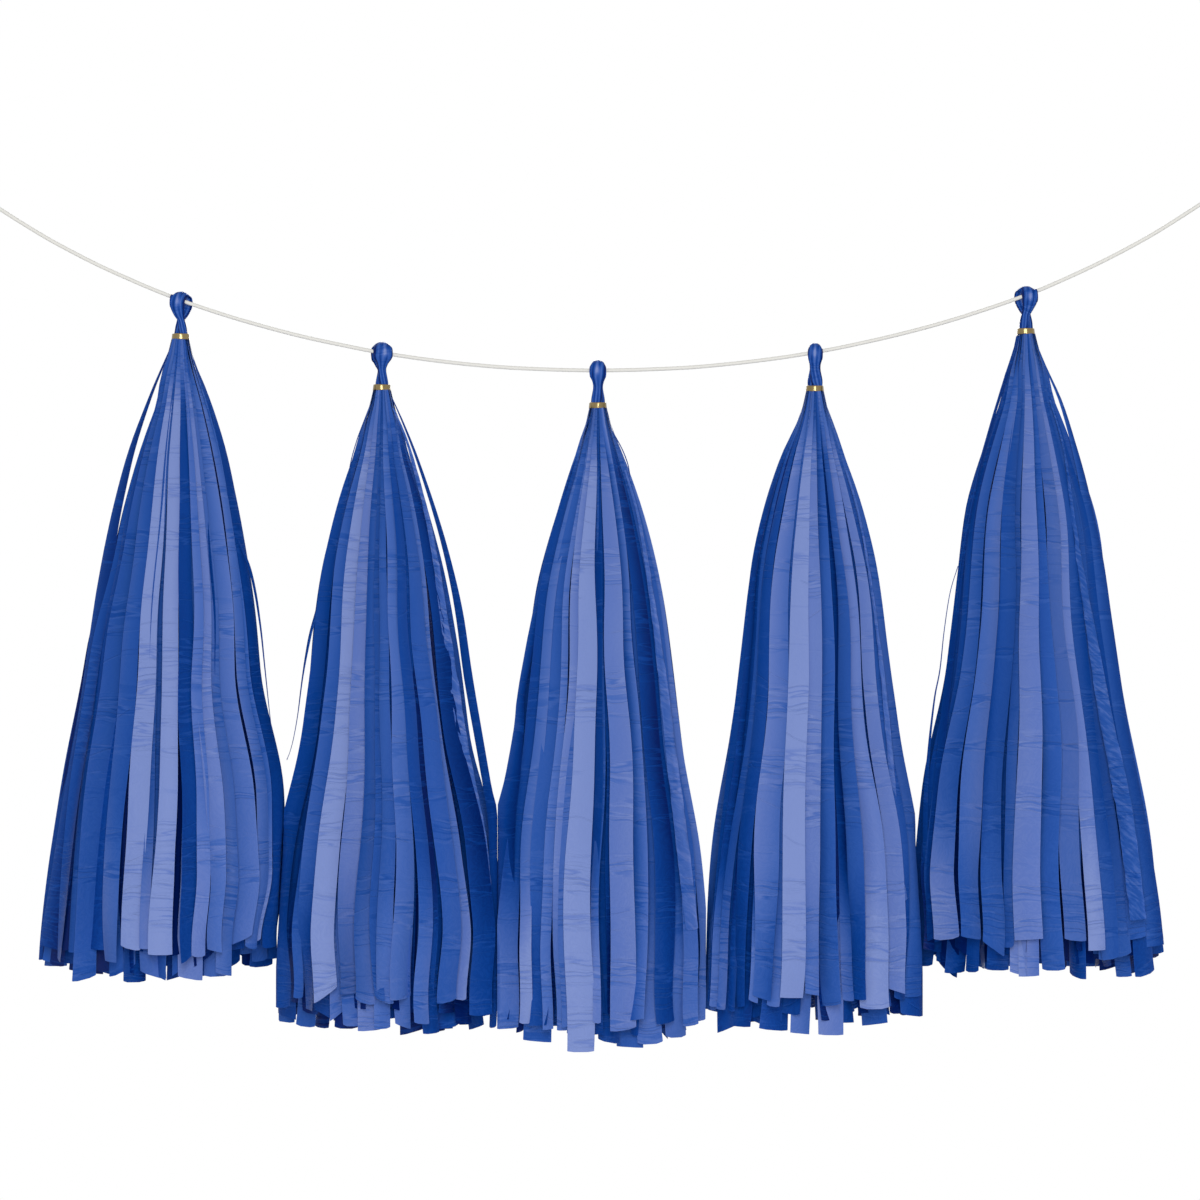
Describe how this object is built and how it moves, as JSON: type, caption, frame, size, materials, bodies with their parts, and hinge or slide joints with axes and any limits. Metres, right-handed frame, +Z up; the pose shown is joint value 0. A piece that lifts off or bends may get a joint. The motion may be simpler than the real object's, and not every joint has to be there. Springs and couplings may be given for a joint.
{
  "type": "tassel garland",
  "caption": "Garland of fringed blue paper tassels with gold bands, hung by twisted loops from a sagging string that is tied into a hanging loop at each end.",
  "frame": {"origin": "the point where a hook holds the bight of the left hanging loop", "axes": "+X along the garland from the left hook to the right one, +Y away from the viewer, +Z up"},
  "size_m": [0.6898, 0.1181, 0.4781],
  "materials": {
    "blue_paper": "satin",
    "gold_band": "gloss",
    "string": "matte"
  },
  "bodies": {
    "hanging_string": {"string": "string", "left_knot": "string", "right_knot": "string", "left_hanging_loop": "string", "right_hanging_loop": "string"},
    "tassel_1": {"tassel_1_loop": "blue_paper", "tassel_1_band": "gold_band", "tassel_1_outer_fringe": "blue_paper", "tassel_1_middle_fringe": "blue_paper", "tassel_1_inner_fringe": "blue_paper"},
    "tassel_2": {"tassel_2_loop": "blue_paper", "tassel_2_band": "gold_band", "tassel_2_outer_fringe": "blue_paper", "tassel_2_middle_fringe": "blue_paper", "tassel_2_inner_fringe": "blue_paper"},
    "tassel_3": {"tassel_3_loop": "blue_paper", "tassel_3_band": "gold_band", "tassel_3_outer_fringe": "blue_paper", "tassel_3_middle_fringe": "blue_paper", "tassel_3_inner_fringe": "blue_paper"},
    "tassel_4": {"tassel_4_loop": "blue_paper", "tassel_4_band": "gold_band", "tassel_4_outer_fringe": "blue_paper", "tassel_4_middle_fringe": "blue_paper", "tassel_4_inner_fringe": "blue_paper"},
    "tassel_5": {"tassel_5_loop": "blue_paper", "tassel_5_band": "gold_band", "tassel_5_outer_fringe": "blue_paper", "tassel_5_middle_fringe": "blue_paper", "tassel_5_inner_fringe": "blue_paper"}
  },
  "joints": [
    {"name": "tassel_1_swing", "type": "hinge", "parent": "hanging_string", "child": "tassel_1", "pos_m": [0.1262, 0, -0.0708], "axis": [1, 0, 0], "range_deg": [-60, 60]},
    {"name": "tassel_2_swing", "type": "hinge", "parent": "hanging_string", "child": "tassel_2", "pos_m": [0.2287, 0, -0.09842], "axis": [1, 0, 0], "range_deg": [-60, 60]},
    {"name": "tassel_3_swing", "type": "hinge", "parent": "hanging_string", "child": "tassel_3", "pos_m": [0.3389, 0, -0.1077], "axis": [1, 0, 0], "range_deg": [-60, 60]},
    {"name": "tassel_4_swing", "type": "hinge", "parent": "hanging_string", "child": "tassel_4", "pos_m": [0.4496, 0, -0.09823], "axis": [1, 0, 0], "range_deg": [-60, 60]},
    {"name": "tassel_5_swing", "type": "hinge", "parent": "hanging_string", "child": "tassel_5", "pos_m": [0.5572, 0, -0.06803], "axis": [1, 0, 0], "range_deg": [-60, 60]}
  ]
}
